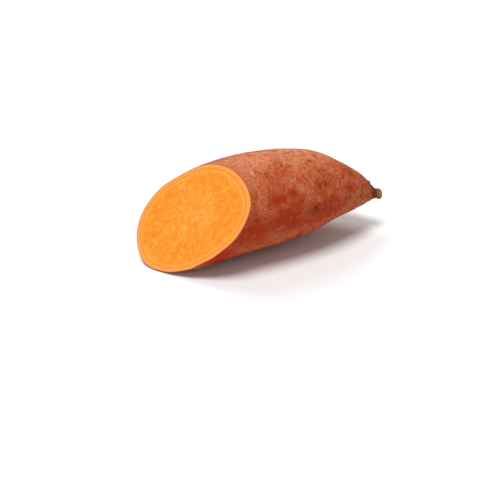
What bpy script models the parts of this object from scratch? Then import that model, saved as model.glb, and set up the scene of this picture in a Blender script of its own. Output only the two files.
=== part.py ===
"""A sweet potato with one end cut off at a slant, lying on its belly.

Run it with blender --background --python part.py, or from Blender's text editor. Metres, +Z up.
The body runs along X, with the cut face towards -X and the corky stem stub towards +X.
"""

import math
import random

import bmesh
import bpy
from mathutils import Vector

# The spine starts in the middle of the cut face and bends in plan along one arc of a circle.
# A distance called "along" runs on it from there towards the stem.
SPINE_START = Vector((-0.0509, -0.0054))
SPINE_LENGTH = 0.1294
HEADING_AT_CUT = math.radians(12.5)
BEND = math.radians(25.0) / 0.126

# The root's taper, from its thickest place towards the stem and towards the cut.
THICKEST_RADIUS = 0.0311
THICKEST_AT = 0.0396
TAPER_LENGTH = 0.0883
TAPER_POWER = 2.28
TAPER_BLUNTNESS = 0.81
BACK_LENGTH = 0.166

# The underside is level as far as the belly, and lifts clear towards the stem.
LEVEL_TO = 0.045
LIFT_TO_STEM = 3.2
SETTLED_BY = 0.0003
SETTLED_EASE = 0.0003

# What is left of the stem: a short corky stub with a narrow neck.
NECK_AT = 0.1255
NECK_RADIUS = 0.0030
STUB_FLARE = 0.0006
FLARE_FROM = 0.1266
FLARE_LENGTH = 0.0015
STUB_SLOPE = -0.25
STUB_RIM = 0.0009
CORK_RIDGES = 5
CORK_RIDGE_HEIGHT = 0.07
CORK_RIDGE_TURN = 0.6
CORK_FROM = 0.117

# The knife's plane passes through the start of the spine and faces up and forwards.
CUT_TURN = math.radians(37.0)
CUT_TILT = math.radians(32.0)
CUT_REACH = 0.055
HALVINGS = 40

# How the sections differ from a circle: lobes round the section, height as a share of the radius,
# and the direction of one lobe. Directions round the root start at its front and rise over the top.
SECTION_WIDTH = 1.025
SECTION_LOBES = (
    (2, 0.050, math.radians(45)),
    (3, 0.009, math.radians(-42)),
    (4, 0.016, math.radians(13)),
)

# Broad swellings and hollows: place along and round the root, reach, and height.
SWELLINGS = (
    (0.036, math.radians(-92), 0.026, 0.0008),
    (-0.001, math.radians(-64), 0.010, 0.0014),
    (0.018, math.radians(-50), 0.014, 0.0008),
    (-0.006, math.radians(-38), 0.009, -0.0012),
    (-0.022, math.radians(-116), 0.014, 0.0004),
    (-0.018, math.radians(-163), 0.009, -0.0004),
    (-0.006, math.radians(161), 0.010, 0.0008),
    (0.009, math.radians(130), 0.009, -0.0007),
    (0.014, math.radians(-6), 0.008, 0.0006),
    (0.034, math.radians(215), 0.015, -0.0009),
    (0.069, math.radians(-22), 0.008, -0.0006),
    (0.086, math.radians(112), 0.013, 0.0009),
    (0.098, math.radians(-56), 0.016, -0.0016),
    (0.104, math.radians(112), 0.009, -0.0008),
    (0.105, math.radians(170), 0.011, -0.0007),
)

# Root scars, the eyes: shallow dents in rows along the root, wider round it than along it.
SCAR_SEED = 11
SCAR_ROWS = 5
SCAR_ROW_STAGGER = 0.37
SCAR_STEP = 0.0165
SCAR_STEP_RANGE = (0.8, 1.3)
SCAR_FROM = -0.020
SCAR_TO = 0.118
SCAR_JITTER = 0.0045
SCAR_TURN_JITTER = math.radians(13)
SCAR_WIDTH = (0.0022, 0.0038)
SCAR_DEPTH = (0.0004, 0.0010)
SCAR_NARROWNESS = 0.62
SCAR_CLEARANCE = 0.005

# The mesh: points round each ring, rings from the cut to the stub, and how many are cork.
POINTS_ROUND = 76
RINGS = 62
RING_SPACING = 1.32
CORK_RINGS = 7
SHARP_FROM = math.radians(40)

# The material slots, with each one's name, colour and roughness.
SKIN, FLESH, CORK = 0, 1, 2
FINISHES = (
    ("peel", (0.34, 0.085, 0.032, 1.0), 0.62),
    ("flesh", (0.94, 0.33, 0.035, 1.0), 0.45),
    ("corky_stem", (0.30, 0.17, 0.075, 1.0), 0.85),
)


def clear_scene():
    for thing in list(bpy.data.objects):
        bpy.data.objects.remove(thing)


def smooth_step(value):
    value = min(max(value, 0.0), 1.0)
    return value * value * (3 - 2 * value)


def heading(along):
    return HEADING_AT_CUT - BEND * along


def body_radius(along):
    """The taper without the stub."""
    if along < THICKEST_AT:
        return THICKEST_RADIUS * (1 - ((THICKEST_AT - along) / BACK_LENGTH) ** 2)
    share = min((along - THICKEST_AT) / TAPER_LENGTH, 1.0)
    return THICKEST_RADIUS * (1 - share**TAPER_POWER) ** TAPER_BLUNTNESS


def radius(along):
    """The taper run smoothly into the stub."""
    flare = STUB_FLARE * smooth_step((along - FLARE_FROM) / FLARE_LENGTH)
    return (body_radius(along) ** 4 + (NECK_RADIUS + flare) ** 4) ** 0.25


def underside(along):
    """How high the belly is over the table."""
    return LIFT_TO_STEM * max(along - LEVEL_TO, 0.0) ** 2


def settled(height):
    """A height once the belly has flattened on the table: level below, and eased at the edge."""
    if height > SETTLED_EASE:
        return height
    return max(height + SETTLED_EASE, 0.0) ** 2 / (4 * SETTLED_EASE)


def spine_height(along):
    """The root's middle, with the stub straight after the neck."""
    before = min(along, NECK_AT)
    return underside(before) + body_radius(before) + STUB_SLOPE * (along - before) - SETTLED_BY


def spine_point(along):
    turned = heading(along)
    x = SPINE_START.x + (math.sin(HEADING_AT_CUT) - math.sin(turned)) / BEND
    y = SPINE_START.y + (math.cos(turned) - math.cos(HEADING_AT_CUT)) / BEND
    return Vector((x, y, spine_height(along)))


def scars():
    """Each eye's place along and round the root, half width and depth."""
    draw = random.Random(SCAR_SEED)
    found = []
    for row in range(SCAR_ROWS):
        direction = 2 * math.pi * row / SCAR_ROWS
        along = SCAR_FROM + SCAR_STEP * (row * SCAR_ROW_STAGGER % 1)
        while along < SCAR_TO:
            place = along + draw.uniform(-SCAR_JITTER, SCAR_JITTER)
            turn = direction + draw.uniform(-SCAR_TURN_JITTER, SCAR_TURN_JITTER)
            eye = (place, turn, draw.uniform(*SCAR_WIDTH), draw.uniform(*SCAR_DEPTH))
            if beyond_cut(skin_point(place, turn, ())) < -SCAR_CLEARANCE:
                found.append(eye)
            along += SCAR_STEP * draw.uniform(*SCAR_STEP_RANGE)
    return found


def angle_between(first, second):
    return (first - second + math.pi) % (2 * math.pi) - math.pi


def relief(along, turn, size, eyes):
    """How far the skin stands out from the plain section: swellings, then the eyes' dents."""
    height = 0.0
    for place, direction, reach, rise in SWELLINGS:
        apart = size * angle_between(turn, direction)
        height += rise * math.exp(-((along - place) ** 2 + apart**2) / reach**2)
    for place, direction, width, depth in eyes:
        across = size * angle_between(turn, direction) / width
        lengthwise = (along - place) / (width * SCAR_NARROWNESS)
        height -= depth * math.exp(-(across**2) - lengthwise**2)
    return height


def skin_point(along, turn, eyes):
    """The point of the skin at that distance along the spine and direction round it."""
    size = radius(along)
    share = sum(height * math.cos(count * (turn - at)) for count, height, at in SECTION_LOBES)
    share += (
        CORK_RIDGE_HEIGHT
        * smooth_step((along - CORK_FROM) / (NECK_AT - CORK_FROM))
        * math.cos(CORK_RIDGES * turn + CORK_RIDGE_TURN)
    )
    reach = size * (1 + share) + relief(along, turn, size, eyes)
    front = Vector((math.sin(heading(along)), -math.cos(heading(along)), 0.0))
    point = spine_point(along) + front * (reach * math.cos(turn) * SECTION_WIDTH)
    point.z = settled(point.z + reach * math.sin(turn))
    return point


def cut_normal():
    """The way the cut face looks: back along the root, turned to the front and tilted up."""
    level = math.cos(CUT_TILT)
    return Vector((-level * math.cos(CUT_TURN), -level * math.sin(CUT_TURN), math.sin(CUT_TILT)))


def beyond_cut(point):
    """How far a point is in front of the knife's plane, on the side that was sliced off."""
    return (point - spine_point(0.0)).dot(cut_normal())


def where_cut(turn, eyes):
    """The distance along the spine at which the knife's plane meets the skin in this direction."""
    outside, inside = -CUT_REACH, CUT_REACH
    for _ in range(HALVINGS):
        half = (outside + inside) / 2
        if beyond_cut(skin_point(half, turn, eyes)) > 0:
            outside = half
        else:
            inside = half
    return inside


def ring_of_points(mesh, starts, share, eyes):
    """One ring of the skin, that share of the way from the cut to the end of the stub."""
    spaced = 1 - (1 - share) ** RING_SPACING
    ring = []
    for index, start in enumerate(starts):
        turn = 2 * math.pi * index / POINTS_ROUND
        along = start + (SPINE_LENGTH - start) * spaced
        ring.append(mesh.verts.new(skin_point(along, turn, eyes)))
    return ring


def stub_rim(mesh, last_ring):
    """A smaller ring just past the last one, which rounds the stub's edge."""
    middle = sum((point.co for point in last_ring), Vector()) / len(last_ring)
    end = heading(SPINE_LENGTH)
    outwards = Vector((math.cos(end), math.sin(end), STUB_SLOPE)).normalized()
    ring = []
    for point in last_ring:
        spoke = point.co - middle
        inner = middle + spoke * (1 - STUB_RIM / spoke.length) + outwards * STUB_RIM
        ring.append(mesh.verts.new(inner))
    return ring


def bridge(mesh, first, second, slot):
    for index in range(POINTS_ROUND):
        after = (index + 1) % POINTS_ROUND
        face = mesh.faces.new((first[index], second[index], second[after], first[after]))
        face.material_index = slot
        face.smooth = True


def material(name, colour, roughness):
    made = bpy.data.materials.new(name)
    made.use_nodes = True
    shader = made.node_tree.nodes["Principled BSDF"]
    shader.inputs["Base Color"].default_value = colour
    shader.inputs["Roughness"].default_value = roughness
    shader.inputs["Metallic"].default_value = 0.0
    return made


def sweet_potato():
    """The whole root as one closed body: the skin, the cut face, the stub and the stub's end."""
    eyes = scars()
    mesh = bmesh.new()
    starts = [where_cut(2 * math.pi * index / POINTS_ROUND, eyes) for index in range(POINTS_ROUND)]
    rings = [ring_of_points(mesh, starts, index / RINGS, eyes) for index in range(RINGS + 1)]
    for index in range(RINGS):
        bridge(mesh, rings[index], rings[index + 1], CORK if index >= RINGS - CORK_RINGS else SKIN)
    rim = stub_rim(mesh, rings[-1])
    bridge(mesh, rings[-1], rim, CORK)
    cut_face = mesh.faces.new(rings[0])
    cut_face.material_index = FLESH
    stub_end = mesh.faces.new(rim)
    stub_end.material_index = CORK
    bmesh.ops.recalc_face_normals(mesh, faces=mesh.faces)
    data = bpy.data.meshes.new("sweet_potato")
    mesh.to_mesh(data)
    mesh.free()
    data.set_sharp_from_angle(angle=SHARP_FROM)
    for finish in FINISHES:
        data.materials.append(material(*finish))
    root = bpy.data.objects.new("sweet_potato", data)
    bpy.context.scene.collection.objects.link(root)
    return root


def main():
    clear_scene()
    sweet_potato()


main()
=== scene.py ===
import math
import random

import bpy
import numpy as np
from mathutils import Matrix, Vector, noise


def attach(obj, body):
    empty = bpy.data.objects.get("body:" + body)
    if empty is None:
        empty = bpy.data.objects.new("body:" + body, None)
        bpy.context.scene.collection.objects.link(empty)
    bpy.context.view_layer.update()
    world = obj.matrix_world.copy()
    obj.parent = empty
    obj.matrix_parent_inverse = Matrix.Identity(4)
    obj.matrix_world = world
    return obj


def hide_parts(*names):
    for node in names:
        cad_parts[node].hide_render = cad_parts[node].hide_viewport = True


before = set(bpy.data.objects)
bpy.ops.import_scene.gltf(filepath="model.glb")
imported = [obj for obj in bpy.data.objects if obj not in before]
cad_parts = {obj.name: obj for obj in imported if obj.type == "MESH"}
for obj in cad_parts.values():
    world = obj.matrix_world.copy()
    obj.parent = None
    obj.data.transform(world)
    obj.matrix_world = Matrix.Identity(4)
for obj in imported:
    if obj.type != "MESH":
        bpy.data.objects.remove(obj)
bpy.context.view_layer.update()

# A sweet potato with one end cut off at a slant, lying on its belly on a pale floor.
# Metres, +Z up. The cut face is towards -X and the corky stem stub towards +X.

NODE = "sweet_potato"
PIECE = "sweet_potato_root"
MM = 0.001
SKIN, FLESH, CORK = 0, 1, 2

# The root's spine, the same arc in plan as the solid's, with its taper and its rise to the stem. The bend
# is how far the spine turns over each metre of it.
SPINE_START = Vector((-0.0509, -0.0054))
HEADING_AT_CUT = math.radians(12.5)
SPINE_TURN, TURN_RUN = math.radians(25.0), 0.126
BEND = SPINE_TURN / TURN_RUN
THICKEST_RADIUS = 0.0311
THICKEST_AT = 0.0396
BACK_LENGTH = 0.166
TAPER_LENGTH = 0.0883
TAPER_POWER = 2.28
TAPER_BLUNTNESS = 0.81
LEVEL_TO = 0.045
LIFT_TO_STEM = 3.2
SETTLED_BY = 0.0003
NECK_AT = 0.1255
CORK_FROM = 0.1262
STUB_SLOPE = -0.25
SECTION_WIDTH = 1.025

# The knife's plane passes through the start of the spine.
CUT_TURN = math.radians(37.0)
CUT_TILT = math.radians(32.0)

# The eyes that the solid has as dents, drawn again by its rule.
SCAR_SEED = 11
SCAR_ROWS = 5
SCAR_ROW_STAGGER = 0.37
SCAR_STEP = 0.0165
SCAR_STEP_RANGE = (0.8, 1.3)
SCAR_FROM = -0.020
SCAR_TO = 0.118
SCAR_JITTER = 0.0045
SCAR_TURN_JITTER = math.radians(13)
SCAR_WIDTH = (0.0022, 0.0038)
SCAR_DEPTH = (0.0004, 0.0010)

# The fine mesh: what is merged, how far quads may bend and skew, what lies in the knife's plane, and how
# often the surface is rounded off. The rings at the rim of the cut have widths, and each ring inside them
# is a share of the size of the last.
MERGE_WITHIN = 0.000001
QUADS_BEND, QUADS_SKEW = math.radians(40), math.radians(90)
IN_PLANE = 0.00003
ROUNDING_LEVELS = 2
RIM_RINGS = (0.0005, 0.0008, 0.0010, 0.0012, 0.0016)
CORE_RINGS = (0.82, 0.80, 0.74, 0.62, 0.40)
SMOOTH_UP_TO = math.radians(42)

# Uneven relief: its height and the size of its lumps in mm, how much closer they lie along the root and
# round it, and where the pattern starts.
SWELLINGS = (
    (0.20, 12.0, 1.0, 1.0, 0.0),
    (0.11, 5.2, 1.0, 1.0, 3.1),
)
CRINKLES = (
    (0.060, 2.4, 0.4, 1.0, 7.7),
    (0.055, 1.7, 1.0, 0.28, 1.3),
)
TAIL_WRINKLES = (
    (0.15, 2.1, 1.0, 0.22, 5.9),
)
FLESH_GRAIN = (
    (0.05, 3.2, 1.0, 1.0, 2.2),
)
TAIL_FROM, TAIL_TO = 0.088, 0.120
FULL_HOLLOW = 0.16 * MM

# The skin lies on the solid at the rim of the cut and where it touches the floor, and has its whole relief
# from the second distance on.
RELIEF_FROM_CUT = (0.0004, 0.0045)
RELIEF_FROM_FLOOR = (0.0001, 0.0016)

# The neck under the stub: creases round it, by place and half width, and ridges along it.
NECK_FROM, NECK_TO = 0.114, 0.123
NECK_CREASES = ((0.1212, 0.0006), (0.1237, 0.0005))
NECK_RELIEF = 0.16 * MM
NECK_RIDGE_SIZE = 2.5 * MM
NECK_RIDGE_CIRCLE = 10.0 * MM
NECK_RIDGE_RUN = 0.3

# A bud's small nub on the neck: its place along the root, its direction, its height and its half width.
NUB_AT, NUB_TURN = 0.1212, math.radians(80)
NUB_HEIGHT, NUB_WIDTH = 1.1 * MM, 0.9 * MM

# Small dark eyes: place along the root in mm, direction in degrees and width in mm.
SMALL_EYES = (
    (39.4, 74, 0.9),
    (55.8, 89, 1.0),
    (59.0, 60, 1.0),
    (38.5, 46, 0.9),
    (38.6, 12, 1.1),
    (60.5, 34, 0.8),
    (90.2, 71, 0.7),
    (76.5, 11, 1.7),
    (95.0, 13, 0.9),
    (94.8, -7, 0.8),
    (107.1, 22, 0.8),
    (112.9, 10, 0.8),
    (112.9, -9, 0.8),
)

# An eye's relief: a narrow slit with a low brow on the side towards the stem. The brow's measures are
# shares of the slit's.
OWN_EYE_SLIT = 0.42
OWN_EYE_PIT = 0.22 * MM
OWN_EYE_DARK = 0.6
SMALL_EYE_SLIT = 0.75
SMALL_EYE_PIT = 0.30 * MM
SMALL_EYE_DARK = 1.0
PIT_NARROWNESS = 0.62
BROW_SHARE = 0.35
BROW_WIDTH = 1.8
BROW_BEHIND = 0.9
BROW_NARROWNESS = 0.5

# Broad tints of the skin: place along the root and reach along it in mm, then direction round it and
# spread round it in degrees.
# The skin's own redder tone, with painted warm bounce light and painted shade on its low side.
RUDDY_AND_BOUNCE_PATCHES = (
    (26, 26, -4, 25),
    (56, 18, 2, 24),
    (8, 18, -30, 34),
    (84, 24, 0, 25),
    (50, 9, 30, 8),
    (90, 5, 17, 9),
    (104, 5, 31, 9),
    (60, 5, 34, 7),
    (30, 18, 215, 30),
    (80, 14, 190, 26),
    (50, 50, 270, 40),
)
# Paler on top: partly dust, partly a painted sheen.
DUST_AND_SHEEN_PATCHES = (
    (42, 22, 88, 30),
    (66, 20, 93, 30),
    (84, 15, 92, 22),
    (20, 16, 118, 24),
    (100, 14, 110, 24),
    (40, 26, 150, 26),
)
# Dark bruises and creases; the last two patches, along the underside, are painted shade.
BRUISES_AND_SHADE_PATCHES = (
    (76.5, 4.5, 8, 9),
    (105, 4, 66, 7),
    (83, 5, 37, 9),
    (79, 2.6, 73, 3.5),
    (113, 4, 8, 16),
    (98, 26, -46, 20),
    (20, 44, -82, 30),
)
CREAM_SPOTS = (
    (28.7, 1.4, 91, 3.0),
    (38.1, 1.6, 64, 4.0),
)

# How ragged each tint is: gone where the skin's unevenness is at the first value, whole at the second.
# The unevenness itself has the size of its lumps, and where its pattern starts.
TINTS = {
    "ruddy_and_bounce": (RUDDY_AND_BOUNCE_PATCHES, (-1.2, -0.1)),
    "dust_and_sheen": (DUST_AND_SHEEN_PATCHES, (0.9, -0.1)),
    "bruised_and_shaded": (BRUISES_AND_SHADE_PATCHES, (-0.6, 0.3)),
    "cream": (CREAM_SPOTS, (-0.6, 0.2)),
}
RAGGED_COARSE = (3.5 * MM, 9.4)
RAGGED_FINE = (1.5 * MM, 6.2)
FINE_SHARE = 0.5

# The skin beside the cut is rubbed dull by the knife, over the top of the root only.
SCUFF_DEPTH = 0.0062
SCUFF_RAGGED = (-0.7, 0.4)
SCUFF_STARTS = (math.radians(36), math.radians(50))
SCUFF_ENDS = (math.radians(95), math.radians(112))

# The neck darkens towards the stub.
NECK_DARK = (NECK_AT - 0.0045, NECK_AT - 0.001)
NECK_RAGGED = (-0.45, 0.1)

# The cut face: a thin ring of vessels under the skin, sunk a little, and the heart that the rays start
# from, to the front of the spine and above it.
RING_DEPTH = 0.0026
RING_WIDTH = 0.0004
RING_GROOVE = 0.10 * MM
GRAIN_FROM_SKIN = (0.0008, 0.003)
RIM_BLEND = 0.0025
HEART = (0.0006, 0.0033)

# The rim of the cut isn't a clean oval. Each move has its place in metres, how far the rim goes sideways,
# up and out there in mm, and its reach in mm. The first two lift the lower lip off the floor.
RIM_MOVES = (
    ((-0.0605, -0.0195, 0.0030), (0.0, 1.25, 0.0), 8.0),
    ((-0.0660, -0.0145, 0.0010), (0.0, 0.3, 0.0), 4.5),
    ((-0.0733, -0.0055, 0.0003), (0.0, 0.0, 0.7), 6.5),
    ((-0.0770, 0.0020, 0.0020), (-0.5, -0.5, 0.0), 6.5),
    ((-0.0450, -0.0285, 0.0145), (0.15, -0.35, 0.0), 6.0),
    ((-0.0340, -0.0330, 0.0240), (-0.35, 0.12, 0.0), 8.0),
    ((-0.0660, 0.0200, 0.0345), (0.7, -0.05, 0.0), 10.0),
    ((-0.0180, -0.0280, 0.0480), (0.5, 0.35, 0.0), 8.0),
)


def smooth_step(value, start, end):
    share = np.clip((value - start) / (end - start), 0.0, 1.0)
    return share * share * (3 - 2 * share)


def bump_at(away, reach):
    """A soft bump, 1 at its middle and about a third at its reach."""
    return np.exp(-((away / reach) ** 2))


def cut_normal():
    level = math.cos(CUT_TILT)
    return np.array((-level * math.cos(CUT_TURN), -level * math.sin(CUT_TURN), math.sin(CUT_TILT)))


def across_cut():
    """The cut face's own level direction, to its front, its own way up, and the level way out of it."""
    side = np.cross(cut_normal(), (0.0, 0.0, -1.0))
    side = side / np.linalg.norm(side)
    return np.array((side, np.cross(cut_normal(), side), np.cross(side, (0.0, 0.0, 1.0))))


def body_radius(along):
    """The root's half thickness at each distance along the spine, without the stub."""
    share = np.clip((along - THICKEST_AT) / TAPER_LENGTH, 0.0, 1.0)
    tapered = (1 - share**TAPER_POWER) ** TAPER_BLUNTNESS
    fuller = 1 - (np.minimum(along - THICKEST_AT, 0.0) / BACK_LENGTH) ** 2
    return THICKEST_RADIUS * np.where(along < THICKEST_AT, fuller, tapered)


def spine_height(along):
    before = np.minimum(along, NECK_AT)
    lift = LIFT_TO_STEM * np.maximum(before - LEVEL_TO, 0.0) ** 2
    return lift + body_radius(before) + STUB_SLOPE * (along - before) - SETTLED_BY


def straightened(points):
    """Each point's distance along the spine, to the front of it and above it."""
    centre_x = SPINE_START.x + math.sin(HEADING_AT_CUT) / BEND
    centre_y = SPINE_START.y - math.cos(HEADING_AT_CUT) / BEND
    x, y = points[:, 0] - centre_x, points[:, 1] - centre_y
    along = (HEADING_AT_CUT - np.arctan2(-x, y)) / BEND
    front = 1 / BEND - np.hypot(x, y)
    return np.stack((along, front, points[:, 2] - spine_height(along)), axis=1)


def direction_round(straight):
    """The direction round the root, from its front over the top, as the solid's eyes use it."""
    return np.arctan2(straight[:, 2], straight[:, 1] / SECTION_WIDTH)


def angle_between(first, second):
    return (first - second + math.pi) % (2 * math.pi) - math.pi


def beyond_cut(points):
    middle = np.array((SPINE_START.x, SPINE_START.y, float(spine_height(np.array(0.0)))))
    return (points - middle) @ cut_normal()


def own_eyes():
    """The solid's eyes: each one's place along the root, its direction round it and its half width. The
    solid's rule draws a depth too, so one is drawn here and left, or the next eyes would differ."""
    draw = random.Random(SCAR_SEED)
    found = []
    for row in range(SCAR_ROWS):
        direction = 2 * math.pi * row / SCAR_ROWS
        along = SCAR_FROM + SCAR_STEP * (row * SCAR_ROW_STAGGER % 1)
        while along < SCAR_TO:
            place = along + draw.uniform(-SCAR_JITTER, SCAR_JITTER)
            turn = direction + draw.uniform(-SCAR_TURN_JITTER, SCAR_TURN_JITTER)
            width = draw.uniform(*SCAR_WIDTH)
            draw.uniform(*SCAR_DEPTH)
            found.append((place, turn, width))
            along += SCAR_STEP * draw.uniform(*SCAR_STEP_RANGE)
    return found


def read(parts, name, width=1, kind=np.int32):
    """One value of every vertex, edge, corner or face, in rows where it has several numbers."""
    values = np.empty(len(parts) * width, kind)
    parts.foreach_get(name, values)
    return values.reshape(-1, width) if width > 1 else values


def points_of(mesh):
    return read(mesh.vertices, "co", 3, np.float32).astype(float)


def normals_of(mesh):
    return read(mesh.vertices, "normal", 3, np.float32).astype(float)


def middles_of(mesh):
    return read(mesh.polygons, "center", 3, np.float32).astype(float)


def corners_of(mesh, faces):
    """Which points are corners of those faces."""
    of_face = np.repeat(faces, read(mesh.polygons, "loop_total"))
    found = np.zeros(len(mesh.vertices), bool)
    found[read(mesh.loops, "vertex_index")[of_face]] = True
    return found


def store(mesh, name, values):
    """Keeps a number or a place for each point of the mesh, for the materials to read."""
    kind = "FLOAT" if values.ndim == 1 else "FLOAT_VECTOR"
    kept = mesh.attributes.new(name, kind, "POINT")
    kept.data.foreach_set("value" if kind == "FLOAT" else "vector", values.astype(np.float32).ravel())


def only(piece):
    bpy.ops.object.select_all(action="DESELECT")
    bpy.context.view_layer.objects.active = piece
    piece.select_set(True)


def choose(piece, kind, wanted):
    """Opens the piece for editing with just those of its edges or faces selected."""
    mesh = piece.data
    for name in ("vertices", "edges", "polygons"):
        parts = getattr(mesh, name)
        parts.foreach_set("select", wanted if name == kind else np.zeros(len(parts), bool))
    bpy.context.tool_settings.mesh_select_mode = (False, kind == "edges", kind == "polygons")
    bpy.ops.object.mode_set(mode="EDIT")


def merged_copy():
    """The solid's surface as one skin of quads, which the fine surface is modelled on."""
    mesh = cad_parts[NODE].data.copy()
    mesh.name = PIECE
    mesh.materials.clear()
    piece = bpy.data.objects.new(PIECE, mesh)
    bpy.context.scene.collection.objects.link(piece)
    only(piece)
    bpy.ops.object.mode_set(mode="EDIT")
    bpy.ops.mesh.select_all(action="SELECT")
    bpy.ops.mesh.customdata_custom_splitnormals_clear()
    bpy.ops.mesh.remove_doubles(threshold=MERGE_WITHIN)
    bpy.ops.mesh.tris_convert_to_quads(face_threshold=QUADS_BEND, shape_threshold=QUADS_SKEW)
    bpy.ops.object.mode_set(mode="OBJECT")
    return piece


def model_cut_face(piece):
    """The sliced end as one flat face with a crisp edge, then rings inside it down to the heart."""
    in_plane = np.abs(beyond_cut(middles_of(piece.data))) < IN_PLANE
    choose(piece, "polygons", in_plane)
    bpy.ops.mesh.dissolve_faces()
    bpy.ops.object.mode_set(mode="OBJECT")
    at_edge = np.abs(beyond_cut(points_of(piece.data))) < IN_PLANE
    choose(piece, "edges", at_edge[read(piece.data.edges, "vertices", 2)].all(axis=1))
    bpy.ops.transform.edge_crease(value=1.0)
    bpy.ops.object.mode_set(mode="OBJECT")
    in_plane = np.abs(beyond_cut(middles_of(piece.data))) < IN_PLANE
    middle = Vector(points_of(piece.data)[at_edge].mean(axis=0))
    piece.data.polygons.foreach_set("material_index", np.where(in_plane, FLESH, SKIN).astype(np.int32))
    choose(piece, "polygons", in_plane)
    for width in RIM_RINGS:
        bpy.ops.mesh.inset(thickness=width)
    for share in CORE_RINGS:
        bpy.ops.mesh.inset(thickness=0.0)
        bpy.ops.transform.resize(value=(share, share, share), center_override=middle)
    bpy.ops.mesh.poke()
    bpy.ops.object.mode_set(mode="OBJECT")


def round_off(piece):
    rounding = piece.modifiers.new("rounding", "SUBSURF")
    rounding.levels = ROUNDING_LEVELS
    rounding.render_levels = ROUNDING_LEVELS
    rounding.boundary_smooth = "PRESERVE_CORNERS"
    only(piece)
    bpy.ops.object.modifier_apply(modifier=rounding.name)


def fine(points, cell, shift=0.0):
    """Smooth unevenness from -1 to 1 at each point, with lumps of about that size."""
    moved = Vector((shift, -shift, 2 * shift))
    return np.array([noise.noise(Vector(point) / cell + moved) for point in points])


def relief(points, listed):
    """The height that uneven relief gives each point."""
    height = np.zeros(len(points))
    for rise, lump, lengthwise, roundwise, start in listed:
        height += rise * MM * fine(points * (lengthwise, roundwise, roundwise), lump * MM, start)
    return height


def patches(listed, along, turn):
    """How strongly each point is inside the listed soft patches."""
    cover = np.zeros(len(along))
    for place, reach, direction, spread in listed:
        across = angle_between(turn, math.radians(direction))
        patch = bump_at(along - place * MM, reach * MM) * bump_at(across, math.radians(spread))
        cover = np.maximum(cover, patch)
    return cover


def eye_relief(along, turn, size):
    """The eyes' pits and brows as height, and how dark each point is in them."""
    height, dark = np.zeros(len(along)), np.zeros(len(along))
    marks = []
    for place, turned, width in own_eyes():
        marks.append((place, turned, OWN_EYE_SLIT * width, OWN_EYE_PIT, OWN_EYE_DARK))
    for place, turned, width in SMALL_EYES:
        slit = SMALL_EYE_SLIT * width * MM
        marks.append((place * MM, math.radians(turned), slit, SMALL_EYE_PIT, SMALL_EYE_DARK))
    for place, turned, slit, depth, darkness in marks:
        across = size * angle_between(turn, turned) / slit
        behind = (along - place) / slit
        pit = bump_at(across, 1.0) * bump_at(behind, PIT_NARROWNESS)
        brow = bump_at(across, BROW_WIDTH) * bump_at(behind - BROW_BEHIND, BROW_NARROWNESS)
        height += depth * (BROW_SHARE * brow - pit)
        dark = np.maximum(dark, darkness * pit)
    return height, dark


def crinkles(straight, turn):
    """The skin's fine relief: crinkles all over, wrinkles at the tail, creases and ridges at the neck."""
    along = straight[:, 0]
    at_tail = smooth_step(along, TAIL_FROM, TAIL_TO)
    at_neck = smooth_step(along, NECK_FROM, NECK_TO)
    creases = sum(bump_at(along - place, width) for place, width in NECK_CREASES)
    circle = NECK_RIDGE_CIRCLE * np.stack((np.cos(turn), np.sin(turn)), axis=1)
    ridges = fine(np.column_stack((NECK_RIDGE_RUN * along, circle)), NECK_RIDGE_SIZE)
    height = relief(straight, CRINKLES) + at_tail * relief(straight, TAIL_WRINKLES)
    return height + at_neck * NECK_RELIEF * (ridges - creases)


def depth_under_skin(mesh, points, flesh_points):
    """For points of the cut face, how deep they are under the skin, from the nearest stretch of its edge."""
    is_flesh = read(mesh.polygons, "material_index") == FLESH
    face_of_corner = np.repeat(np.arange(len(is_flesh)), read(mesh.polygons, "loop_total"))
    edge_of_corner = read(mesh.loops, "edge_index")
    in_flesh = is_flesh[face_of_corner]
    beside_flesh = np.zeros(len(mesh.edges), bool)
    beside_flesh[edge_of_corner[in_flesh]] = True
    skin_beside = np.full(len(mesh.edges), -1)
    skin_beside[edge_of_corner[~in_flesh]] = face_of_corner[~in_flesh]
    rim = beside_flesh & (skin_beside >= 0)
    ends = points[read(mesh.edges, "vertices", 2)[rim]]
    slant = read(mesh.polygons, "normal", 3, np.float32)[skin_beside[rim]] @ cut_normal()
    steepness = np.sqrt(1 - slant**2)
    start, run = ends[:, 0], ends[:, 1] - ends[:, 0]
    to_point = points[flesh_points][:, None, :] - start[None]
    share = np.clip((to_point * run).sum(2) / (run * run).sum(1), 0.0, 1.0)
    apart = np.linalg.norm(to_point - share[..., None] * run, axis=2)
    nearest = apart.min(axis=1)
    weight = bump_at(apart - nearest[:, None], RIM_BLEND)
    return nearest * (weight * steepness).sum(1) / weight.sum(1)


def move_points(mesh, points, height):
    """Raises each point by its height, then draws the rim of the cut to its outline."""
    points = points + normals_of(mesh) * height[:, None]
    for place, move, reach in RIM_MOVES:
        apart = np.linalg.norm(points - np.array(place), axis=1)
        points = points + bump_at(apart, reach * MM)[:, None] * (MM * np.array(move) @ across_cut())
    points[:, 2] = np.maximum(points[:, 2], 0.0)
    mesh.vertices.foreach_set("co", points.astype(np.float32).ravel())
    mesh.update()


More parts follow.
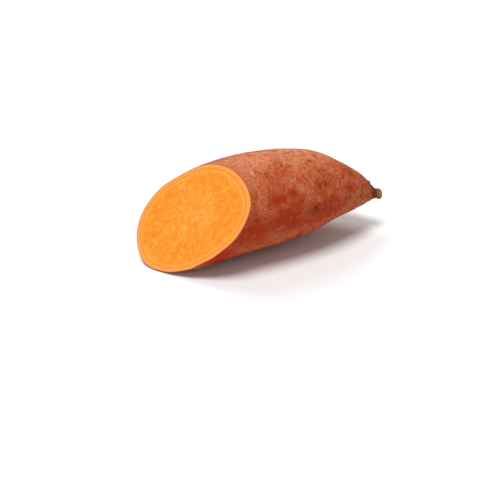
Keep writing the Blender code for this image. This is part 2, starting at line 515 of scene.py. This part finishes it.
def shape_surface(piece):
    """Gives the fine mesh the skin's and the flesh's relief, and keeps on it what the materials read."""
    mesh = piece.data
    cut = read(mesh.polygons, "material_index") == FLESH
    on_flesh, on_skin = corners_of(mesh, cut), corners_of(mesh, ~cut)
    points = points_of(mesh)
    straight = straightened(points)
    along, turn = straight[:, 0], direction_round(straight)
    size = np.hypot(straight[:, 1], straight[:, 2])
    behind_cut = -beyond_cut(points)
    depth = np.zeros(len(points))
    depth[on_flesh] = depth_under_skin(mesh, points, on_flesh)

    small = crinkles(straight, turn)
    pits, dark = eye_relief(along, turn, size)
    nub = bump_at(np.hypot(along - NUB_AT, size * angle_between(turn, NUB_TURN)), NUB_WIDTH)
    loose = smooth_step(behind_cut, *RELIEF_FROM_CUT) * smooth_step(points[:, 2], *RELIEF_FROM_FLOOR)
    skin_height = loose * (relief(straight, SWELLINGS) + small + pits + NUB_HEIGHT * nub)
    flesh_height = relief(points, FLESH_GRAIN) * smooth_step(depth, *GRAIN_FROM_SKIN)
    flesh_height -= RING_GROOVE * bump_at(depth - RING_DEPTH, RING_WIDTH)
    move_points(mesh, points, np.where(on_flesh, np.where(on_skin, 0.0, flesh_height), skin_height))

    uneven = fine(straight, *RAGGED_COARSE) + FINE_SHARE * fine(straight, *RAGGED_FINE)
    for name, (listed, ragged) in TINTS.items():
        store(mesh, name, patches(listed, along, turn) * smooth_step(uneven, *ragged))
    over_top = smooth_step(turn, *SCUFF_STARTS) * (1 - smooth_step(turn, *SCUFF_ENDS))
    beside_cut = 1 - smooth_step(behind_cut, 0.0, SCUFF_DEPTH)
    store(mesh, "scuffed", beside_cut * over_top * smooth_step(uneven, *SCUFF_RAGGED))
    dark_neck = smooth_step(along, *NECK_DARK) * smooth_step(uneven, *NECK_RAGGED)
    store(mesh, "eye", np.maximum(dark * loose, np.maximum(nub, dark_neck)))
    # The relief's height, which the peel reads for painted shade in hollows and a painted highlight on
    # ridges.
    store(mesh, "hollow", (small + pits) / FULL_HOLLOW)
    store(mesh, "on_root", straight)
    store(mesh, "under_skin", depth)
    at_stub = straightened(middles_of(mesh))[:, 0] > CORK_FROM
    slots = np.where(cut, FLESH, np.where(at_stub, CORK, SKIN))
    mesh.polygons.foreach_set("material_index", slots.astype(np.int32))


def root():
    piece = merged_copy()
    model_cut_face(piece)
    round_off(piece)
    shape_surface(piece)
    for finish in (peel, flesh, cork):
        piece.data.materials.append(finish())
    only(piece)
    bpy.ops.object.shade_smooth_by_angle(angle=SMOOTH_UP_TO)
    return piece


def linear(colour):
    """A hex sRGB colour as linear light, with full cover."""
    parts = [int(colour[place : place + 2], 16) / 255 for place in (1, 3, 5)]
    return tuple(p / 12.92 if p <= 0.04045 else ((p + 0.055) / 1.055) ** 2.4 for p in parts) + (1.0,)


def per(size):
    """Cells in a metre for a pattern of that many millimetres."""
    return 1.0 / (size * MM)


def add(tree, kind, takes, gives, **settings):
    """Adds a node with its settings, sets or links its sockets by identifier, and returns one output."""
    made = tree.nodes.new(kind)
    for name, value in settings.items():
        setattr(made, name, value)
    sockets = {socket.identifier: socket for socket in made.inputs}
    for name, value in takes.items():
        if isinstance(value, bpy.types.NodeSocket):
            tree.links.new(value, sockets[name])
        else:
            sockets[name].default_value = value
    return {socket.identifier: socket for socket in made.outputs}[gives]


def new_material(name):
    made = bpy.data.materials.new(name)
    made.use_nodes = True
    tree = made.node_tree
    return made, tree, tree.nodes["Principled BSDF"]


def winding_lines(tree, place, stretch, size, twist):
    """Nothing along thin winding lines and more away from them."""
    pulled = {"Vector": place, "Vector_001": stretch}
    pulled = add(tree, "ShaderNodeVectorMath", pulled, "Vector", operation="MULTIPLY")
    takes = {"Vector": pulled, "Scale": per(size), "Detail": 2.0, "Roughness": 0.55, "Distortion": twist}
    wave = add(tree, "ShaderNodeTexNoise", takes, "Fac")
    off = add(tree, "ShaderNodeMath", {"Value": wave, "Value_001": 0.5}, "Value", operation="SUBTRACT")
    return add(tree, "ShaderNodeMath", {"Value": off}, "Value", operation="ABSOLUTE")


def drawn_out(tree, way, reach, close, long, twist):
    """Unevenness drawn out from the heart: how close its lumps are round it, and their length in mm."""
    takes = {"Value": reach, "Value_001": per(long)}
    grown = add(tree, "ShaderNodeMath", takes, "Value", operation="MULTIPLY")
    outward = add(tree, "ShaderNodeCombineXYZ", {"X": grown}, "Vector")
    takes = {"Vector": way, "Vector_001": (close, close, close), "Vector_002": outward}
    place = add(tree, "ShaderNodeVectorMath", takes, "Vector", operation="MULTIPLY_ADD")
    takes = {"Vector": place, "Scale": 1.0, "Detail": 2.0, "Distortion": twist}
    return add(tree, "ShaderNodeTexNoise", takes, "Fac")


def layered(tree, ground, layers):
    """Lays colours over a ground colour. Each covers nothing where its pattern is at the first value, and
    most where it is at the second, and no more than the pattern that it is kept within. Places along the
    root and depths are in metres."""
    colour = linear(ground)
    for pattern, bare, full, most, within, tint in layers:
        takes = {"Value": pattern, "From Min": bare, "From Max": full, "To Min": 0.0, "To Max": most}
        cover = add(tree, "ShaderNodeMapRange", takes, "Result", interpolation_type="SMOOTHSTEP")
        if within:
            takes = {"Value": cover, "Value_001": within}
            cover = add(tree, "ShaderNodeMath", takes, "Value", operation="MULTIPLY")
        takes = {"Factor_Float": cover, "A_Color": colour, "B_Color": linear(tint)}
        colour = add(tree, "ShaderNodeMix", takes, "Result_Color", data_type="RGBA")
    return colour


def peel():
    """Sweet potato skin: thin dry cork, copper red, with root scars and fine wisps, paler on top with dust
    and a painted sheen, with painted shade in its hollows and underside and painted warm bounce light low
    down.
    The wisps and pores are drawn twice as wide as real ones, or they would be too fine to show."""
    made, tree, shader = new_material("sweet_potato_peel")
    place = add(tree, "ShaderNodeAttribute", {}, "Vector", attribute_name="on_root")
    along = add(tree, "ShaderNodeSeparateXYZ", {"Vector": place}, "X")
    kept = {}
    for name in ("hollow", "ruddy_and_bounce", "dust_and_sheen", "bruised_and_shaded", "cream", "scuffed", "eye"):
        kept[name] = add(tree, "ShaderNodeAttribute", {}, "Fac", attribute_name=name)
    tones = []
    for size, detail, rough, twist in (
        (11.0, 4.0, 0.62, 0.4),
        (6.1, 4.0, 0.65, 0.8),
        (3.7, 3.0, 0.60, 0.8),
        (2.2, 3.0, 0.65, 0.5),
    ):
        takes = {
            "Vector": place,
            "Scale": per(size),
            "Detail": detail,
            "Roughness": rough,
            "Distortion": twist,
        }
        tones.append(add(tree, "ShaderNodeTexNoise", takes, "Fac"))
    cloud, patch, blotch, mottle = tones
    round_wisps = winding_lines(tree, place, (1.0, 0.30, 0.30), 3.6, 1.8)
    long_wisps = winding_lines(tree, place, (0.30, 1.0, 1.0), 3.2, 2.2)
    dark_wisps = winding_lines(tree, place, (0.9, 0.42, 0.42), 3.1, 2.0)
    takes = {"Value": patch, "From Min": 0.42, "From Max": 0.60, "To Min": 0.0, "To Max": 1.0}
    rubbed = add(tree, "ShaderNodeMapRange", takes, "Result", interpolation_type="SMOOTHSTEP")
    takes = {"Value": cloud, "From Min": 0.40, "From Max": 0.60, "To Min": 0.0, "To Max": 1.0}
    dry = add(tree, "ShaderNodeMapRange", takes, "Result", interpolation_type="SMOOTHSTEP")
    flecks = add(tree, "ShaderNodeTexVoronoi", {"Vector": place, "Scale": per(3.2)}, "Distance")
    takes = {"Vector": place, "Vector_001": (1.0, 0.55, 0.55)}
    squeezed = add(tree, "ShaderNodeVectorMath", takes, "Vector", operation="MULTIPLY")
    pores = add(tree, "ShaderNodeTexVoronoi", {"Vector": squeezed, "Scale": per(2.6)}, "Distance")
    tint = layered(tree, "#B44A23", (
        (cloud, 0.40, 0.66, 0.75, None, "#C06138"),
        (patch, 0.50, 0.64, 0.75, None, "#9E3416"),
        # Paler on top: partly dust, partly a painted sheen.
        (kept["dust_and_sheen"], 0.0, 1.0, 0.85, None, "#D38862"),
        (blotch, 0.52, 0.68, 0.26, None, "#D07644"),
        (blotch, 0.48, 0.34, 0.45, None, "#8E2E0C"),
        (mottle, 0.52, 0.72, 0.26, None, "#DA8658"),
        (mottle, 0.48, 0.30, 0.36, None, "#78240A"),
        (along, 0.092, 0.122, 0.45, None, "#8C4216"),
        (kept["scuffed"], 0.10, 0.80, 0.65, None, "#B87256"),
        (dark_wisps, 0.08, 0.0, 0.45, rubbed, "#6A240C"),
        (round_wisps, 0.09, 0.0, 0.38, rubbed, "#E09468"),
        (long_wisps, 0.08, 0.0, 0.34, dry, "#DE966C"),
        (flecks, 0.22, 0.09, 0.60, dry, "#E8AE84"),
        (pores, 0.20, 0.08, 0.46, rubbed, "#521E0A"),
        # Painted shade in the hollows of the relief and a painted highlight on its ridges.
        (kept["hollow"], -0.2, -1.4, 0.45, None, "#68220A"),
        (kept["hollow"], 0.3, 1.4, 0.20, None, "#D48E60"),
        # The skin's redder tone, partly painted warm bounce light and painted shade low down.
        (kept["ruddy_and_bounce"], 0.0, 1.0, 0.80, None, "#A22200"),
        # Dark bruises and creases, with painted shade along the underside.
        (kept["bruised_and_shaded"], 0.0, 1.0, 0.50, None, "#4A200C"),
        (kept["cream"], 0.0, 1.0, 0.60, None, "#E6B690"),
        (along, 0.1205, 0.1248, 0.85, None, "#7E4020"),
        (kept["eye"], 0.10, 0.70, 0.58, None, "#48200C"),
    ))
    tree.links.new(tint, shader.inputs["Base Color"])
    takes = {"Value": mottle, "From Min": 0.3, "From Max": 0.7, "To Min": 0.50, "To Max": 0.68}
    tree.links.new(add(tree, "ShaderNodeMapRange", takes, "Result"), shader.inputs["Roughness"])
    shader.inputs["Specular IOR Level"].default_value = 0.08
    shader.inputs["IOR"].default_value = 1.45
    takes = {"Value": round_wisps, "From Min": 0.11, "From Max": 0.0, "To Min": 0.0, "To Max": 0.25}
    ridges = add(tree, "ShaderNodeMapRange", takes, "Result", interpolation_type="SMOOTHSTEP")
    grain = add(tree, "ShaderNodeMath", {"Value": mottle, "Value_001": ridges}, "Value", operation="ADD")
    takes = {"Strength": 0.6, "Distance": 0.2 * MM, "Height": grain}
    tree.links.new(add(tree, "ShaderNodeBump", takes, "Normal"), shader.inputs["Normal"])
    return made


def flesh():
    """Raw orange flesh, cut with a knife: moist and mottled, with petals and rays from the heart, and a
    thin darker ring under the skin."""
    made, tree, shader = new_material("raw_orange_flesh")
    place = add(tree, "ShaderNodeAttribute", {}, "Vector", attribute_name="on_root")
    depth = add(tree, "ShaderNodeAttribute", {}, "Fac", attribute_name="under_skin")
    takes = {"Vector": place, "Vector_001": (0.0, 1.0, 1.0), "Vector_002": (0.0, -HEART[0], -HEART[1])}
    off_heart = add(tree, "ShaderNodeVectorMath", takes, "Vector", operation="MULTIPLY_ADD")
    reach = add(tree, "ShaderNodeVectorMath", {"Vector": off_heart}, "Value", operation="LENGTH")
    way = add(tree, "ShaderNodeVectorMath", {"Vector": off_heart}, "Vector", operation="NORMALIZE")
    petals = drawn_out(tree, way, reach, 3.2, 3.4, 0.6)
    strokes = drawn_out(tree, way, reach, 7.5, 2.6, 0.8)
    rays = drawn_out(tree, way, reach, 24.0, 12.0, 0.3)
    takes = {"Value": reach, "From Min": 0.015, "From Max": 0.003, "To Min": 0.0, "To Max": 1.0}
    near = add(tree, "ShaderNodeMapRange", takes, "Result", interpolation_type="SMOOTHSTEP")
    takes = {"Value": depth, "From Min": 0.0030, "From Max": 0.0050, "To Min": 0.0, "To Max": 1.0}
    inner = add(tree, "ShaderNodeMapRange", takes, "Result", interpolation_type="SMOOTHSTEP")
    tones = []
    for size, rough, twist in ((8.0, 0.5, 0.4), (3.4, 0.5, 0.6), (1.1, 0.6, 0.0)):
        takes = {"Vector": place, "Scale": per(size), "Detail": 2.0, "Roughness": rough, "Distortion": twist}
        tones.append(add(tree, "ShaderNodeTexNoise", takes, "Fac"))
    wide, mottle, grain = tones
    tint = layered(tree, "#FB9626", (
        (wide, 0.36, 0.66, 0.55, None, "#F98C18"),
        (reach, 0.019, 0.006, 0.30, None, "#FDAA44"),
        (mottle, 0.46, 0.76, 0.38, inner, "#FEB350"),
        (mottle, 0.52, 0.26, 0.35, inner, "#F78712"),
        (strokes, 0.50, 0.72, 0.50, inner, "#FEB856"),
        (strokes, 0.48, 0.28, 0.50, inner, "#F68410"),
        (petals, 0.50, 0.70, 0.65, near, "#FEC274"),
        (petals, 0.48, 0.32, 0.55, near, "#F4861C"),
        (rays, 0.52, 0.30, 0.18, inner, "#F48A1C"),
        (rays, 0.50, 0.72, 0.12, inner, "#FEBC62"),
        (grain, 0.45, 0.80, 0.25, None, "#FEC070"),
        (depth, 0.0050, 0.0031, 0.60, None, "#FEB65C"),
        (depth, 0.0031, 0.0027, 0.75, None, "#F78C22"),
        (depth, 0.0023, 0.0018, 1.0, None, "#FCA44A"),
        (depth, 0.0014, 0.0004, 0.8, None, "#FAA462"),
        (depth, 0.00045, 0.00018, 0.8, None, "#B05A32"),
    ))
    tree.links.new(tint, shader.inputs["Base Color"])
    takes = {"Value": grain, "From Min": 0.3, "From Max": 0.7, "To Min": 0.36, "To Max": 0.50}
    tree.links.new(add(tree, "ShaderNodeMapRange", takes, "Result"), shader.inputs["Roughness"])
    shader.inputs["Specular IOR Level"].default_value = 0.20
    shader.inputs["IOR"].default_value = 1.40
    shader.inputs["Subsurface Weight"].default_value = 0.15
    shader.inputs["Subsurface Radius"].default_value = (1.0, 0.35, 0.08)
    shader.inputs["Subsurface Scale"].default_value = 0.0015
    takes = {"Strength": 0.35, "Distance": 0.12 * MM, "Height": grain}
    tree.links.new(add(tree, "ShaderNodeBump", takes, "Normal"), shader.inputs["Normal"])
    return made


def cork():
    """The stem's dry corky stub: tan fibres with dark grooves between them, paler where it was cut."""
    made, tree, shader = new_material("corky_stem")
    place = add(tree, "ShaderNodeAttribute", {}, "Vector", attribute_name="on_root")
    along = add(tree, "ShaderNodeSeparateXYZ", {"Vector": place}, "X")
    takes = {"Vector": place, "Vector_001": (0.25, 1.0, 1.0)}
    lengthwise = add(tree, "ShaderNodeVectorMath", takes, "Vector", operation="MULTIPLY")
    takes = {"Vector": lengthwise, "Scale": per(0.9), "Detail": 3.0, "Roughness": 0.6}
    fibres = add(tree, "ShaderNodeTexNoise", takes, "Fac")
    takes = {"Vector": place, "Scale": per(1.3), "Detail": 3.0, "Roughness": 0.6}
    crumb = add(tree, "ShaderNodeTexNoise", takes, "Fac")
    tint = layered(tree, "#985C2C", (
        (along, 0.1280, 0.1294, 0.55, None, "#BC8A50"),
        (fibres, 0.52, 0.34, 0.85, None, "#4A2A14"),
        (crumb, 0.52, 0.70, 0.6, None, "#C4935A"),
        (crumb, 0.45, 0.30, 0.5, None, "#6B4222"),
        (along, 0.1272, 0.1262, 0.9, None, "#43200F"),
    ))
    tree.links.new(tint, shader.inputs["Base Color"])
    shader.inputs["Roughness"].default_value = 0.85
    shader.inputs["Specular IOR Level"].default_value = 0.15
    takes = {"Strength": 0.8, "Distance": 0.3 * MM, "Height": fibres}
    tree.links.new(add(tree, "ShaderNodeBump", takes, "Normal"), shader.inputs["Normal"])
    return made


# The studio: the camera as the photograph was taken, a white paper floor, white surroundings, a wide soft
# light overhead and a weaker one behind. The floor is just below the belly, so that the shadow shows
# where the root touches it.
CAMERA_AZIMUTH = math.radians(-19.6)
CAMERA_ELEVATION = math.radians(33.65)
CAMERA_DISTANCE = 0.720
CAMERA_TARGET = Vector((-0.01293, 0.00613, -0.0003))
CAMERA_LENS = 85.0
CAMERA_SENSOR = 36.0
CAMERA_SEES = (0.05, 50.0)
FLOOR_SIZE = 8.0
FLOOR_BELOW = 0.8 * MM
FLOOR_WHITE = 0.9
WHITE_ROOM = 0.36

# Each light's name, strength, spread in degrees and the side that it comes from.
SOFT_LIGHTS = (
    ("overhead_light", 2.15, 24.0, (-0.16, -0.08, 1.0)),
    ("back_light", 0.92, 28.0, (-0.10, 0.62, 0.80)),
)


def put_in_scene(name, data, place, facing):
    """Adds a camera or a light at that place, looking that way."""
    placed = bpy.data.objects.new(name, data)
    placed.location = place
    placed.rotation_mode = "QUATERNION"
    placed.rotation_quaternion = facing.to_track_quat("-Z", "Y")
    bpy.context.scene.collection.objects.link(placed)
    return placed


def camera():
    lens = bpy.data.cameras.new("camera")
    lens.lens = CAMERA_LENS
    lens.sensor_width = CAMERA_SENSOR
    lens.clip_start, lens.clip_end = CAMERA_SEES
    level = math.cos(CAMERA_ELEVATION)
    side, front = math.sin(CAMERA_AZIMUTH) * level, -math.cos(CAMERA_AZIMUTH) * level
    back = Vector((side, front, math.sin(CAMERA_ELEVATION)))
    bpy.context.scene.camera = put_in_scene("camera", lens, CAMERA_TARGET + back * CAMERA_DISTANCE, -back)


def floor():
    """Matt white paper: it shows the root's soft shadow, and no gloss or grain of its own."""
    bpy.ops.object.select_all(action="DESELECT")
    bpy.ops.mesh.primitive_plane_add(size=FLOOR_SIZE, location=(0.0, 0.0, -FLOOR_BELOW))
    plane = bpy.context.object
    plane.name = "floor"
    paper, _, shader = new_material("matt_white_paper")
    shader.inputs["Base Color"].default_value = (FLOOR_WHITE, FLOOR_WHITE, FLOOR_WHITE, 1.0)
    shader.inputs["Roughness"].default_value = 0.9
    shader.inputs["Specular IOR Level"].default_value = 0.0
    plane.data.materials.append(paper)


def lights():
    """White surroundings and the soft lights, shown with plain colours that nothing tones down."""
    bpy.context.scene.view_settings.view_transform = "Standard"
    room = bpy.data.worlds.new("white_studio")
    room.use_nodes = True
    room.node_tree.nodes["Background"].inputs["Color"].default_value = (1.0, 1.0, 1.0, 1.0)
    room.node_tree.nodes["Background"].inputs["Strength"].default_value = WHITE_ROOM
    bpy.context.scene.world = room
    for name, strength, spread, place in SOFT_LIGHTS:
        lamp = bpy.data.lights.new(name, "SUN")
        lamp.energy = strength
        lamp.angle = math.radians(spread)
        put_in_scene(name, lamp, place, -Vector(place))


camera()
floor()
lights()
whole = root()
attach(whole, "root")
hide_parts(NODE)
